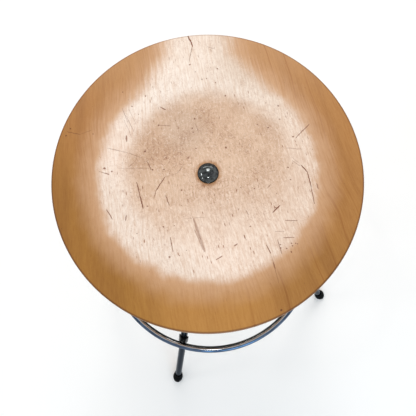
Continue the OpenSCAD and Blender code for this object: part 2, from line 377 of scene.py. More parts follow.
def stroke_group():
    """A node group that adds a straight stroke to the mark so far: 1 on it and 0 a width away.

    It hands on the place that it was given, so that the strokes are worked out one after another.
    """
    tree = bpy.data.node_groups.new("stroke", "ShaderNodeTree")
    sockets = [("INPUT", "Vector", "Place From To"), ("INPUT", "Float", "Width Strength Mark"),
               ("OUTPUT", "Vector", "Place"), ("OUTPUT", "Float", "Mark")]
    for way, kind, names in sockets:
        for name in names.split():
            tree.interface.new_socket(name=name, in_out=way, socket_type="NodeSocket" + kind)
    n = Nodes(tree)
    given = n.put("NodeGroupInput").outputs
    along = n.vector_math("SUBTRACT", given["To"], given["From"])[0]
    offset = n.vector_math("SUBTRACT", given["Place"], given["From"])[0]
    share = n.math("DIVIDE", n.vector_math("DOT_PRODUCT", offset, along)["Value"],
                   n.vector_math("DOT_PRODUCT", along, along)["Value"])
    inside = n.math("MINIMUM", n.most(share, 0), 1)
    scaled = n.put("ShaderNodeVectorMath", {0: along, "Scale": inside}, operation="SCALE").outputs[0]
    # the stroke tapers towards its ends
    taper = n.math("POWER", n.math("SINE", n.ramp(inside, 2.5, 0.32)), 0.5)
    near = n.math("DIVIDE", n.distance(offset, scaled), n.times(given["Width"], taper))
    mark = n.most(n.times(n.step(near, 1, 0.25), given["Strength"]), given["Mark"])
    nothing = n.math("MINIMUM", mark, 0)
    place = n.vector_math("ADD", given["Place"], n.vector(nothing, nothing))[0]
    n.put("NodeGroupOutput", {"Place": place, "Mark": mark})
    return tree


# Marks on the seat, in millimetres from its middle: x to the right and y away from the viewer.
# Most of these places were worked out from the photograph by scratch programs. A script should hold no such
# table: report.md says so under "Rule not kept".
# Scratches and cracks, (from x, from y, to x, to y, half width, strength)
SCRATCHES = [
    (-19, -57, -7, -96, 2.6, 0.5), (-18, -70, -7.5, -97, 1.3, 0.45), (-29, -55.5, -6, -55, 0.6, 0.35),
    (-87, -9, -83, -26, 0.9, 0.9), (-83, -26, -79, -42, 1.2, 1), (-53, -3, -64, -20, 0.8, 0.9),
    (-64, -20, -66, -29, 0.7, 0.7), (-38, 1, -29, 13, 0.6, 0.4), (-38, 1, -53, -3, 0.5, 0.25),
    (-52, -26, -48, -39, 0.9, 0.8), (-74, 17, -70, 8, 0.8, 0.7), (-58, 89, -51, 85, 0.9, 0.9),
    (-59, 65, -45, 64, 0.6, 0.5), (-123, 35, -98, 29, 0.6, 0.55), (-98, 29, -80, 22, 0.6, 0.5),
    (-109, 9, -71, 9, 0.5, 0.4), (-96, 12, -91, 16, 0.6, 0.5), (-100, 77, -91, 57, 0.6, 0.5),
    (-105, 87, -98, 68, 0.6, 0.5), (-103, 72, -93, 48, 0.5, 0.4), (-97, 86, -88, 66, 0.5, 0.35),
    (-122, -43, -115, -55, 0.9, 0.8), (-47, -78, -44, -96, 0.8, 0.8), (6, -107, 13, -103, 1, 0.8),
    (28, -91, 32, -89, 1, 0.8), (104, 12, 113, 4, 0.5, 0.6), (114, 6, 121, -4, 0.9, 1),
    (121, -4, 124, -23, 0.8, 1), (124, -23, 126, -44, 0.7, 0.9), (131, -19, 132, -26, 0.9, 0.6),
    (85, -44, 76, -52, 1.1, 1), (83, -47, 79, -46, 0.8, 0.8), (71, -22, 76, -17, 0.6, 0.6),
    (44, -48, 47, -54, 0.7, 0.6), (39, -78, 43, -85, 0.7, 0.5), (90, -63, 104, -64, 0.8, 0.7),
    (77, -76, 88, -76, 0.6, 0.45), (86, -84, 99, -84, 0.8, 0.75), (66, -92, 70, -102, 0.9, 0.85),
    (79, -86, 83, -103, 0.8, 0.7), (72, -113, 74, -120, 1, 0.8), (71, -106, 77, -136, 0.5, 0.45),
    (110, 41, 128, 58, 0.9, 0.7), (98, 29, 117, 26, 0.6, 0.5), (103, 17, 112, 8, 0.5, 0.4),
    (-14, 66, -10, 54, 0.5, 0.5), (4, 171, 13, 168, 0.7, 0.5), (-22, 191, -19, 183, 1.2, 1),
    (-20, 184, -16, 178, 1.4, 1), (-17, 179, -15, 172, 1.3, 1), (-15, 174, -17, 164, 0.55, 0.9),
    (-17, 165, -20, 149, 0.45, 0.8), (-10, 182, -4, 176, 0.4, 0.4), (-100, 51, -99.5, 44, 1.5, 0.8),
    (-99, -50, -99.5, -57, 1.2, 0.7), (-132, 5, -122, 1.5, 0.6, 0.6), (-125, 3, -120, 1, 1, 0.8),
    (-173, 58, -157, 54, 0.6, 0.6), (-157, 54, -143, 59, 0.5, 0.4),
]
# Dents and knots, (x, y, radius)
SPOTS = [
    (-126, 9, 2.5), (-117, 5, 1.6), (-76, 104, 1.5), (-93, 90, 1.6), (-141, 54, 1.2), (-169, 62, 1.2),
    (-77, 31, 1.7), (-60, 65, 1.7), (-15, 73, 1.8), (-18, 60, 1.6), (-17, 55, 1.5), (-51, 22, 1.5),
    (-54, 7, 1.5), (-68, 7, 1.6), (-24, 21, 1.5), (-33, -20, 1.7), (56, -21, 1.4), (48, -68, 1.4),
    (82, -92, 1.3), (82, -96, 1.8), (95, -91, 1.2), (100, -91, 1.2), (96, -94, 1.3), (102, -92, 1.1),
    (94, -101, 1.2), (89, -97, 1.2), (-19, 146, 1.9), (16, 139, 1.4), (-4, 125, 1.4), (2, 126, 1.1),
    (25, 102, 1.6), (13, 120, 1.1), (-74, -39, 1.4), (-55, -65, 1.5), (-48, -102, 1.8),
    (78, -167, 1.7), (77, 57, 1.5), (91, 85, 1.8), (92, 67, 1.3), (107, 43, 1.6), (98, 4, 1.6),
    (23, 33, 2.2), (-14, 33, 1.3), (64, 62, 1.3), (100, -12, 1.3), (-105, 110, 1.3), (-174, 53, 1.5),
]
# Brown smears beside the bolt, (x, y, reach)
SMEARS = [(-7, -15.5, 4.5), (1, -17, 5.5), (14, -10.5, 3.5)]


def seat_marks(n):
    """Scratches and spots on the seat's upper side, 0 to 1."""
    shaky = n.vector(n.wander(n.flat, 0.35, 1.6), n.wander(n.flat, 0.31, 1.6))
    place, mark = n.vector_math("ADD", n.flat, shaky)[0], 0
    group = stroke_group()
    spots = [(x - 0.3 * r, y, x + 0.3 * r, y - 0.3, r, 0.85) for x, y, r in SPOTS]
    for x0, y0, x1, y1, width, strength in SCRATCHES + spots:
        inputs = {"Place": place, "From": (x0, y0, 0), "To": (x1, y1, 0), "Width": width,
                  "Strength": strength, "Mark": mark}
        place, mark = n.put("ShaderNodeGroup", inputs, node_tree=group).outputs
    return mark


class Beech(Finish):
    """Nodes for beech. Its grain leans to the right as it comes towards the viewer."""

    def __init__(self, name, inputs=None):
        super().__init__(name, inputs)
        self.x, self.y, _ = self.parts(self.mapped(self.place, Rotation=(0, 0, -VIEW_TURN)))
        self.flat = self.vector(self.x, self.y)
        lean = self.ramp(self.x, 0.0007, 0.17)
        self.across = self.add(self.ramp(self.y, lean, self.x), self.wander(self.flat, 0.011, 16, 1))
        self.long_grain = self.grain(0.05)
        self.short_grain = self.grain(0.2)
        self.fibre = self.noise(self.long_grain, 1.3, 3, 0.6)

    def grain(self, share):
        """Places across and along the grain. A pattern is stretched along it by 1 / share."""
        return self.vector(self.across, self.times(self.y, share))


class SeatTop(Beech):
    """Nodes for the seat's upper side, with the patterns that its layers share."""

    def __init__(self):
        super().__init__("seat_top_wood", {"Specular IOR Level": 0.3})
        self.tufts = self.noise(self.grain(0.25), 0.42, 3, 0.65)
        self.hatch = self.noise(self.long_grain, 0.45, 2, 0.6)
        self.streak = self.wander(self.grain(0.03), 0.22, 26, 3)


def worn_areas(n):
    """Where the varnish has gone, and a painted glow round it: the dish, and a band to the back edge."""
    torn = n.times(n.streak, n.ramp(n.step(n.y, -80, 20), 0.12, 0.03))
    lobe = n.step(n.distance(n.flat, (-112, -79, 0)), 55, 5)
    ragged = n.add(n.wander(n.flat, 0.05, 13, 1.5), n.ramp(lobe, -2.6, torn))
    dish_away = n.add(n.distance(n.flat, (0, 1, 0)), ragged)
    flare = n.most(n.math("SUBTRACT", 162, n.y), 0)
    sideways = n.add(n.math("ABSOLUTE", n.add(n.x, n.ramp(flare, -0.14, 8))), n.streak)
    band_away = n.math("SUBTRACT", sideways, n.ramp(flare, 0.72, 43))
    band_up = n.step(n.y, 40, 90)
    bare = n.most(n.step(dish_away, 141, 124), n.times(n.step(band_away, 15, -19), band_up))
    # painted glow: a lighter halo just outside the bare wood, round the dish and along the band
    painted_glow = n.most(n.step(dish_away, 171, 132), n.times(n.step(band_away, 36, -6), band_up))
    return bare, painted_glow


def varnished_wood(n, painted_glow):
    """Honey varnish in soft bands with a few growth lines, lighter to the back and in a painted glow."""
    broad = n.noise(n.grain(0.1), 0.045)
    honey = n.mix(n.step(broad, 0.34, 0.64), wood(165, 115, 60), wood(178, 128, 70))
    honey = n.mix(n.step(n.y, 70, 170), honey, wood(194, 151, 106), 0.6)
    honey = n.mix(n.step(n.fibre, 0.4, 0.7), honey, wood(200, 152, 96), 0.22)
    honey = n.darken(honey, n.step(n.x, -90, -160), (240, 232, 222), 0.5)

    growth = n.ramp(n.noise(n.long_grain, 0.03, 1), 0.9, n.times(n.across, 1 / 21))
    line = n.step(n.math("PINGPONG", growth, 0.5), 0.08, 0)
    line = n.times(line, n.step(n.noise(n.long_grain, 0.06), 0.36, 0.56))
    line = n.times(line, n.step(n.x, -80, 60))
    honey = n.darken(honey, line, (222, 196, 160), 0.6)

    near_left = n.step(n.ramp(n.y, 0.6, n.x), -110, -190)
    honey = n.darken(honey, near_left, (239, 237, 188), 0.85)
    near_middle = n.times(n.step(n.y, -110, -165), n.step(n.math("ABSOLUTE", n.x), 95, 25))
    honey = n.mix(near_middle, honey, wood(198, 146, 78), 0.5)
    near_right = n.times(n.step(n.x, 50, 100), n.step(n.y, -60, -120))
    honey = n.darken(honey, near_right, (240, 239, 230), 0.9)
    honey = n.darken(honey, n.step(n.y, 70, -110), (252, 253, 240))

    # painted glow: lighter honey, streaky at its edge, in the halo round the bare wood
    glow_edge = n.times(painted_glow, n.math("SUBTRACT", 1, painted_glow))
    streaks = n.times(n.times(n.add(n.hatch, -0.5), n.step(n.y, -40, 60)), n.times(glow_edge, 2.4))
    honey = n.mix(n.ramp(painted_glow, 0.86, streaks), honey, wood(209, 171, 137))
    honey = n.darken(honey, n.step(n.tufts, 0.6, 0.4), (236, 222, 204), 0.2)
    return n.darken(honey, n.step(n.hatch, 0.55, 0.35), (224, 202, 172), 0.22)


def bare_wood(n):
    """Bare beech, palest on the dish's shoulder, and how far the browner, smudged middle reaches."""
    tufted = n.step(n.tufts, 0.3, 0.7)
    pale = n.mix(tufted, wood(237, 219, 206), wood(250, 240, 232))
    pale_back = n.mix(tufted, wood(235, 223, 213), wood(249, 243, 237))
    pale = n.mix(n.step(n.y, 40, 110), pale, pale_back, 0.85)
    pale = n.darken(pale, n.step(n.x, 0, 90), (240, 234, 227), 0.65)
    back_right = n.times(n.step(n.x, -10, 50), n.step(n.y, 90, 150))
    pale = n.darken(pale, back_right, (235, 228, 221))
    pale = n.darken(pale, n.step(n.add(n.x, n.y), -90, -150), (247, 248, 248))
    pale = n.darken(pale, n.step(n.hatch, 0.54, 0.38), (234, 218, 204), 0.4)

    middle_away = n.add(n.distance(n.flat, (0, 6, 0)), n.wander(n.flat, 0.03, 24, 3))
    upward = n.add(n.y, n.wander(n.flat, 0.03, 40))
    middle = n.times(n.step(middle_away, 112, 84), n.step(n.ramp(n.x, -0.3, upward), -125, 10))
    middle = n.most(middle, n.times(n.step(middle_away, 108, 88), 0.25))
    pale = n.mix(middle, pale, n.mix(tufted, wood(206, 176, 151), wood(224, 197, 174)), 0.95)

    blotch = n.times(n.step(n.noise(n.flat, 0.024, 3), 0.36, 0.66), middle)
    from_bolt = n.step(n.distance(n.flat, (4, 0, 0)), 18, 84)
    darkening = n.times(blotch, n.times(from_bolt, n.step(upward, -60, 50)))
    pale = n.mix(darkening, pale, wood(190, 156, 128), 0.7)
    pale = n.darken(pale, n.step(n.distance(n.flat, (-27, 57, 0)), 42, 12), (243, 244, 246))
    pale = n.darken(pale, n.step(n.noise(n.flat, 0.014, 3), 0.45, 0.7), (226, 208, 192), 0.3)
    back_edge = n.step(n.add(n.y, n.streak), 120, 175)
    return n.darken(pale, back_edge, (242, 234, 226), 0.3), middle


def scattered(n, cells, slope, smallest, edge, rarest, commonest):
    """Spots, 0 to 1. A chance for each one makes it larger or smaller, and plainer or fainter."""
    away, chance = cells
    shape = n.step(n.math("DIVIDE", away, n.ramp(chance, slope, smallest)), 1, edge)
    return n.times(shape, n.step(chance, rarest, commonest))


def rubs(n, base, bare, middle):
    """Adds fine dark and light rubs in every direction, the plainest in the dish's middle."""
    rubbed = n.step(n.noise(n.flat, 0.022), 0.36, 0.6)
    dark = n.worms(n.flat, 0.15, 0.014)
    for degrees in (10, 75, 130):
        dark = n.most(n.hairs(n.flat, degrees, 1.2, 12, 0.1), dark)
    share = n.ramp(n.times(bare, rubbed), n.ramp(middle, 0.26, 0.16), 0.05)
    base = n.darken(base, dark, (176, 130, 98), share)
    light = n.worms(n.vector(n.y, n.x), 0.17, 0.02)
    return n.mix(light, base, wood(255, 246, 236), n.times(bare, 0.25))


def raised_grain(n, base, worn):
    """Adds the furrows and ridges that show where bare wood has been wet."""
    furrows = n.step(n.noise(n.short_grain, 0.62, 3, 0.7), 0.56, 0.36)
    base = n.darken(base, n.times(furrows, worn), (216, 197, 178), 0.26)
    ridges = n.step(n.noise(n.short_grain, 0.5, 3, 0.7), 0.5, 0.7)
    return n.mix(n.times(ridges, worn), base, wood(255, 244, 234), 0.4)


def bolt_stains(n, base, radius):
    """Adds the brown ring and the smears that the bolt has left."""
    ring = n.step(n.add(radius, n.wander(n.flat, 0.12, 9, 3)), 18.5, 12.8)
    base = n.darken(base, ring, (204, 168, 118), 0.8)
    ragged = n.wander(n.flat, 0.2, 6, 3)
    for x, y, reach in SMEARS:
        smear = n.step(n.add(n.distance(n.flat, (x, y, 0)), ragged), reach, 0)
        base = n.darken(base, smear, (186, 148, 104), 0.4)
    return base


def seat_top_wood():
    """Varnished beech, worn to bare wood in the dish and in a band that runs to the back edge."""
    n = SeatTop()
    bare, painted_glow = worn_areas(n)
    pale, middle = bare_wood(n)
    base = rubs(n, n.mix(bare, varnished_wood(n, painted_glow), pale), bare, middle)

    flecks = scattered(n, n.cells(n.short_grain, 0.36), 0.14, 0.08, 0.4, 0.35, 0.9)
    rougher = n.most(n.step(n.y, 20, -50), n.step(n.x, 50, 100))
    base = n.darken(base, flecks, (166, 118, 84), n.ramp(bare, n.ramp(rougher, 0.35, 0.6), 0.16))
    base = raised_grain(n, base, n.times(bare, rougher))
    dents = scattered(n, n.cells(n.flat, 0.11, 1), 0.07, 0.03, 0.5, 0.3, 0.6)
    base = n.darken(base, dents, (140, 98, 66), n.ramp(bare, 0.5, 0.3))
    marks = seat_marks(n)
    base = n.darken(base, marks, (140, 88, 58))
    radius = n.distance(n.flat)
    base = bolt_stains(n, base, radius)
    # painted shade: a dark brown line round the top face where the edge starts to round over
    base = n.darken(base, n.step(radius, 187.2, 188.8), (150, 104, 62), 0.6)

    ripple = n.times(n.noise(n.flat, 0.28, 3, 0.6), n.times(bare, 0.8))
    pores = n.times(flecks, n.times(bare, -0.7))
    dips = n.add(n.times(marks, -2), n.add(n.times(dents, -1), pores))
    height = n.add(n.add(n.times(n.fibre, 0.3), ripple), dips)
    return n.made(base, n.ramp(bare, 0.16, 0.44), height, 0.14)


def seat_edge_wood():
    """The seat's edge: the ends of the veneers, turn and turn about, under worn varnish."""
    n = Finish("seat_edge_wood")
    x, y, z = n.parts(n.place)
    level = n.times(n.add(z, -(RIM_TOP - SEAT_THICKNESS) / MM), VENEERS / (SEAT_THICKNESS / MM))
    turn_about = n.step(n.math("PINGPONG", level, 1), 0.45, 0.55)
    fibre = n.noise(n.vector(x, y, n.times(z, 6)), 0.6, 3)
    end_grain = n.mix(fibre, colour(128, 84, 48), colour(160, 112, 68))
    long_grain = n.mix(fibre, colour(178, 130, 82), colour(204, 158, 106))
    base = n.mix(turn_about, end_grain, long_grain)
    joint = n.step(n.math("PINGPONG", level, 0.5), 0.06, 0)
    base = n.darken(base, joint, (120, 84, 60), 0.7)
    return n.made(base, 0.5, n.add(fibre, n.times(joint, -1)), 0.1)


def seat_under_wood():
    """The underside: even varnish over the same beech, a little darker."""
    n = Beech("seat_under_wood")
    broad = n.noise(n.grain(0.012), 0.1)
    base = n.mix(n.step(broad, 0.3, 0.7), colour(158, 108, 62), colour(182, 132, 82))
    base = n.mix(n.fibre, base, colour(200, 152, 102), 0.4)
    away, chance = n.cells(n.short_grain, 0.55)
    flecks = n.times(n.step(away, 0.26, 0.12), n.step(chance, 0.7, 0.9))
    base = n.darken(base, flecks, (150, 104, 72), 0.35)
    dust = n.step(n.noise(n.flat, 0.02, 4), 0.45, 0.75)
    base = n.darken(base, dust, (190, 170, 150), 0.3)
    return n.made(base, n.ramp(dust, 0.2, 0.38), n.fibre, 0.08)


# How much light old plating still throws back at a glancing angle
DULL_EDGE = (0.7, 0.72, 0.75, 1)


def plating_pits(n):
    """Scattered pinholes in old plating, 0 to 1."""
    away, chance = n.cells(n.place, 0.45)
    return n.times(n.step(away, 0.22, 0.1), n.step(chance, 0.75, 0.9))


def polished_metal(name, light, dark, gloss, wear, cloud_size=33, darker_from=None, dull_edge=DULL_EDGE):
    """Plated tube or bolt: two close tones in soft clouds, hair scratches and matt pits.

    It may be darker from a given distance from the stool's axis outwards, in millimetres.
    """
    n = Finish(name, {"Metallic": 1, "Specular Tint": dull_edge})
    clouds = n.noise(n.place, 1 / cloud_size, 3)
    base = n.mix(n.step(clouds, 0.3, 0.7), colour(*dark), colour(*light))
    if darker_from:
        x, y, _ = n.parts(n.place)
        # darker brownish grey from that distance outwards
        darkening = n.step(n.distance(n.vector(x, y)), darker_from, darker_from + 1.6)
        base = n.darken(base, darkening, (96, 92, 86), 0.9)
    drawn_out = n.mapped(n.place, Scale=(1.6, 1.6, 0.12))
    hairs = n.step(n.noise(drawn_out, 1, 4, 0.7), 0.58, 0.72)
    pits = plating_pits(n)
    base = n.darken(base, pits, (70, 62, 54), wear)
    rough = n.add(n.ramp(hairs, 0.14, gloss), n.times(pits, 0.35 * wear))
    return n.made(base, rough, n.add(hairs, n.times(pits, -1)), 0.02)


def ring_chrome():
    """Plated tube: a painted highlight along its top, painted reflections olive inside and navy outside."""
    n = Finish("ring_chrome", {"Metallic": 1, "Specular Tint": DULL_EDGE})
    x, y, z = n.parts(n.place)
    outward = n.add(n.distance(n.vector(x, y)), -RING_RADIUS / MM)
    from_top = n.math("ARCTAN2", outward, n.add(z, -RING_HEIGHT / MM))
    uneven = n.wander(n.place, 0.05, 0.5, 3)
    off_line = n.math("ABSOLUTE", n.add(n.add(from_top, uneven), 0.12))
    # painted highlight: a pale line along the top of the tube, a little to its inner side
    painted_highlight = n.step(off_line, 0.38, 0.18)
    clouds = n.step(n.noise(n.place, 0.03, 3), 0.3, 0.7)
    # painted reflections: dark olive on the inner side, navy blue on the outer side
    painted_inner_reflection = n.mix(clouds, colour(34, 33, 29), colour(56, 54, 48))
    painted_outer_reflection = n.mix(clouds, colour(60, 73, 92), colour(94, 113, 138))
    painted_side_reflections = n.mix(n.step(from_top, -0.6, 0.2), painted_inner_reflection, painted_outer_reflection)
    base = n.mix(painted_highlight, painted_side_reflections, colour(208, 210, 212))
    pits = plating_pits(n)
    base = n.darken(base, pits, (70, 62, 54), 0.6)
    rough = n.add(n.ramp(painted_highlight, -0.05, 0.14), n.times(pits, 0.2))
    return n.made(base, rough, n.times(pits, -1), 0.02)


def turned_steel(name, tone, oil):
    """Machined steel: fine rings round the axis, with darker oil in patches."""
    n = Finish(name, {"Metallic": 1})
    rings = n.noise(n.vector(0, 0, n.parts(n.place)[2]), 6, 4, 0.7)
    patches = n.step(n.noise(n.place, 0.09, 4), 0.4, 0.7)
    bright = [min(255, c * 1.3) for c in tone]
    base = n.mix(rings, colour(*tone), colour(*bright), 0.5)
    base = n.darken(base, patches, (110, 88, 66), oil)
    return n.made(base, n.ramp(patches, -0.1, 0.38), rings, 0.05)


def black_rubber():
    """Matt black rubber with a grey bloom and grit."""
    n = Finish("black_rubber", {"Specular IOR Level": 0.015})
    bloom = n.step(n.noise(n.place, 0.12, 4, 0.6), 0.4, 0.8)
    base = n.mix(bloom, colour(2, 4, 6), colour(10, 12, 15), 0.5)
    grit = n.noise(n.place, 2.4, 3, 0.7)
    return n.made(base, n.ramp(bloom, 0.15, 0.5), grit, 0.12)


def moulded_plastic(name, low, high, roughness):
    """Moulded plastic with a fine spark-eroded texture and faint scuffs."""
    n = Finish(name)
    grain = n.noise(n.place, 3, 2, 0.6)
    scuffs = n.step(n.noise(n.place, 0.2, 5, 0.7), 0.5, 0.75)
    base = n.mix(scuffs, colour(*low), colour(*high), 0.6)
    return n.made(base, n.ramp(scuffs, 0.15, roughness), grain, 0.05)


finishes = [
    polished_metal("leg_chrome", (38, 43, 49), (28, 32, 37), 0.16, 0.5, dull_edge=(0.6, 0.62, 0.65, 1)),
    ring_chrome(),
    polished_metal("bolt_chrome", (98, 101, 101), (56, 58, 57), 0.06, 0.7, cloud_size=3.5, darker_from=11.4),
    polished_metal("weld_metal", (120, 122, 124), (82, 80, 78), 0.3, 0.8),
    turned_steel("plate_steel", (142, 144, 146), 0.35),
    turned_steel("screw_steel", (120, 122, 124), 0.4),
    turned_steel("spindle_steel", (132, 132, 130), 0.7),
    turned_steel("nut_steel", (150, 148, 144), 0.45),
    black_rubber(),
    moulded_plastic("black_plastic", (8, 8, 9), (24, 24, 25), 0.32),
    moulded_plastic("pale_plastic", (206, 202, 188), (228, 225, 214), 0.5),
]
# Blender numbers a name that is already taken
FINISHES = {finish.name.split(".")[0]: finish for finish in finishes}


# ---- seat


def dish(r):
    """Height of the seat's surface above its middle."""
    share = min(max((r - DISH_INNER) / (DISH_OUTER - DISH_INNER), 0), 1)
    return DISH_DEPTH * (1 - cos(pi * share)) / 2


def seat_edge():
    """The rounded edge from under to upper side, with a fine groove at each glue line."""
    low = RIM_TOP - SEAT_THICKNESS
    points = []
    steps = 14
    for centre, start in ((low + SEAT_EDGE_ROUND, -90), (RIM_TOP - SEAT_EDGE_ROUND, 0)):
        for i in range(steps + 1):
            a = radians(start + 90 * i / steps)
            points.append((SEAT_FLAT + SEAT_EDGE_ROUND * cos(a), centre + SEAT_EDGE_ROUND * sin(a)))
    flat_steps = 10
    flat_low, flat_high = points[steps][1], points[steps + 1][1]
    side = [(SEAT_RADIUS, flat_low + (flat_high - flat_low) * i / flat_steps) for i in range(1, flat_steps)]
    points[steps + 1:steps + 1] = side
    groove_depth, groove_width = 0.12 * MM, 0.16 * MM
    grooved = []
    for r, z in points:
        level = (z - low) / SEAT_THICKNESS * VENEERS
        away = abs(level - round(level)) * SEAT_THICKNESS / VENEERS
        groove = groove_depth * exp(-((away / groove_width) ** 2))
        grooved.append((r - groove if 0 < round(level) < VENEERS else r, z))
    return grooved


def middle_height(r):
    """Height of the middle of the seat's thickness."""
    return RIM_TOP - SEAT_THICKNESS / 2 - DISH_DEPTH + dish(r)


def make_seat():
    """The dished plywood disc with its bolt hole. Its upper side is very slightly uneven."""
    rings = 64
    radii = [BOLT_HOLE + (SEAT_FLAT - BOLT_HOLE) * i / rings for i in range(rings)]
    under = [(r, RIM_TOP - SEAT_THICKNESS - DISH_DEPTH + dish(r)) for r in radii]
    upper = [(r, CENTRE_TOP + dish(r)) for r in reversed(radii)]
    vertices, faces = revolve(under + seat_edge() + upper, steps=288, closed=True)
    uneven = 0.25 * MM
    settled = []
    for x, y, z in vertices:
        r = hypot(x, y)
        if z > middle_height(r) and r < SEAT_FLAT:
            hollow = max(0, noise.noise(Vector((x, y, 0)) * 28))
            ripple = max(0, noise.noise(Vector((x, y, 5)) * 90))
            z -= uneven * (hollow + 0.5 * ripple) * min(1, (r - BOLT_HOLE) / (20 * MM))
        settled.append((x, y, z))
    woods = [seat_top_wood(), seat_edge_wood(), seat_under_wood()]
    seat = piece("seat_disc", (settled, faces), "seat", "seat_wood", ["seat_shell"], woods, sharp=60)
    top_edge = RIM_TOP - 1.2 * MM
    for face in seat.data.polygons:
        x, y, z = face.center
        r = hypot(x, y)
        if r > SEAT_FLAT and z < top_edge:
            face.material_index = 1
        elif z < middle_height(r):
            face.material_index = 2


def make_bolt():
    """The coach bolt's domed head and its shank. A small flat land surrounds the dome."""
    low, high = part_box("seat_bolt")
    head_radius, top = high.x, high.z
    seat_face = top - BOLT_HEAD_HEIGHT
    land = 1.2 * MM
    dome_height = BOLT_HEAD_HEIGHT - land
    dome_edge = head_radius - 0.5 * MM
    dome_radius = (dome_edge**2 + dome_height**2) / (2 * dome_height)
    dome = []
    steps = 20
    for i in range(steps + 1):
        r = dome_edge * (1 - i / steps)
        dome.append((r, top - dome_radius + sqrt(dome_radius**2 - r**2)))
    outline = rounded([(0, low.z, 0), (BOLT_SHANK, low.z, 0.8 * MM), (BOLT_SHANK, seat_face, 0),
                       (head_radius, seat_face, 0.3 * MM), (head_radius, seat_face + land, 0.4 * MM),
                       (dome_edge, dome[0][1], 0)]) + dome[1:]
    piece("bolt_head", revolve(outline, 96), "seat", "bolt_chrome", ["seat_bolt"], sharp=50)


def make_flange():
    """The plate under the seat, with a run of weld round the spindle."""
    low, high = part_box("seat_flange")
    bottom = high.z - FLANGE_THICKNESS
    plate = rounded([(FLANGE_HOLE, high.z, 0), (FLANGE_HOLE, bottom, 0), (high.x - 3 * MM, bottom, 2 * MM),
                     (high.x, bottom + 2.2 * MM, 1 * MM), (high.x, high.z, 0), (FLANGE_HOLE, high.z, 0)])
    piece("flange_plate", revolve(plate, 128), "seat", "plate_steel", ["seat_flange"])
    weld = bead(circle(12 * MM, bottom - 0.3 * MM, 120), 1.35 * MM, 0.18 * MM, 22, sides=14)
    piece("flange_weld", weld, "seat", "plate_steel", materials=[FINISHES["weld_metal"]])


def socket_screw(radius, height, recess, recess_depth, sides=6):
    """A domed screw head with a sunk socket, standing on z = 0 and pointing up."""
    around = 48
    outline = rounded([(0, 0, 0), (radius, 0, 0.2 * MM), (radius, height * 0.45, height * 0.5),
                       (recess * 1.15, height, 0)], 8)
    vertices, faces = revolve(outline, around)
    rings = [range(len(vertices) - around, len(vertices))]
    corner = tau / sides
    for z in (height, height - recess_depth):
        rings.append(range(len(vertices), len(vertices) + around))
        for i in range(around):
            a = tau * i / around
            flat_side = recess * cos(corner / 2) / cos((a % corner) - corner / 2)
            vertices.append((flat_side * cos(a), flat_side * sin(a), z))
    return vertices, faces + skin(rings) + [tuple(rings[-1])]


def screw_set(name, head, shank, place, sides, body, node):
    """Equal screws round the stool's axis."""
    screw = joined(head, revolve(shank, 24))
    screws = [moved(screw, turn(side) @ place) for side in sides]
    piece(name, joined(*screws), body, "screw_steel", [node])


def make_flange_screws():
    """Wood screws under the flange, heads down."""
    low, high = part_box("flange_screws")
    head_radius, head_height, shank_radius = 4.5 * MM, 3 * MM, 2.2 * MM
    point, shoulder, overlap = -(high.z - low.z - head_height), -10 * MM, -0.1 * MM
    head = socket_screw(head_radius, head_height, 2.1 * MM, 1.6 * MM)
    shank = [(0, point), (shank_radius, shoulder), (shank_radius, overlap), (0, overlap)]
    place = Matrix.Translation((FLANGE_SCREWS_FROM_AXIS, 0, low.z + head_height))
    place = place @ Matrix.Rotation(pi, 4, "X")
    screw_set("flange_screw_set", head, shank, place, (45, 135, 225, 315), "seat", "flange_screws")


def make_spindle():
    """The spindle with a real right-handed thread of the stated lead."""
    low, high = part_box("spindle")
    crest = high.x
    root = crest - THREAD_DEPTH
    plain_length = 14 * MM
    thread_top = high.z - plain_length
    around = 72
    # places across one turn of the thread, as shares of the lead, and their radii
    turn_outline = [(0.0, crest), (0.28, crest), (0.40, root), (0.86, root), (0.98, crest)]
    turns = int((thread_top - low.z) / LEAD) + 2
    vertices, columns, faces = [], [], []
    for i, (x, y, _) in enumerate(circle(1, 0, around)):
        column = []
        for t in range(-1, turns + 1):
            for share, r in turn_outline:
                z = low.z + LEAD * (t + share + i / around)
                inside = min(max(z, low.z), thread_top)
                if z < low.z:
                    r = root
                if z > thread_top:
                    r = crest
                column.append(len(vertices))
                vertices.append((r * x, r * y, inside))
        columns.append(column)
    for i, here in enumerate(columns):
        after = columns[(i + 1) % around]
        shift = len(turn_outline) if i == around - 1 else 0
        for k in range(len(here) - 1 - shift):
            faces.append((here[k], after[k + shift], after[k + 1 + shift], here[k + 1]))
    plain = revolve([(crest, thread_top), (crest, high.z), (0, high.z)], around)
    foot = revolve([(0, low.z), (root, low.z)], around)
    shape = joined((vertices, faces), plain, foot)
    spindle = piece("spindle_thread", shape, "seat", "spindle_steel", ["spindle"])
    weld_close_points(spindle, 0.02 * MM)


def weld_close_points(thing, distance):
    """Joins points that lie closer than distance, and drops the faces that vanish."""
    work = bmesh.new()
    work.from_mesh(thing.data)
    bmesh.ops.remove_doubles(work, verts=work.verts, dist=distance)
    bmesh.ops.dissolve_degenerate(work, edges=work.edges, dist=distance)
    work.to_mesh(thing.data)
    work.free()
    thing.data.set_sharp_from_angle(angle=radians(32))


# ---- hub


def make_hub():
    """The upright tube in the middle."""
    low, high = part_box("hub_tube")
    wall = rounded([(HUB_BORE, high.z, 0), (HUB_BORE, low.z, 0), (high.x, low.z, 0.8 * MM),
                    (high.x, high.z, 0.8 * MM), (HUB_BORE, high.z, 0)])
    piece("hub_sleeve", revolve(wall, 96), "base", "leg_chrome", ["hub_tube"])


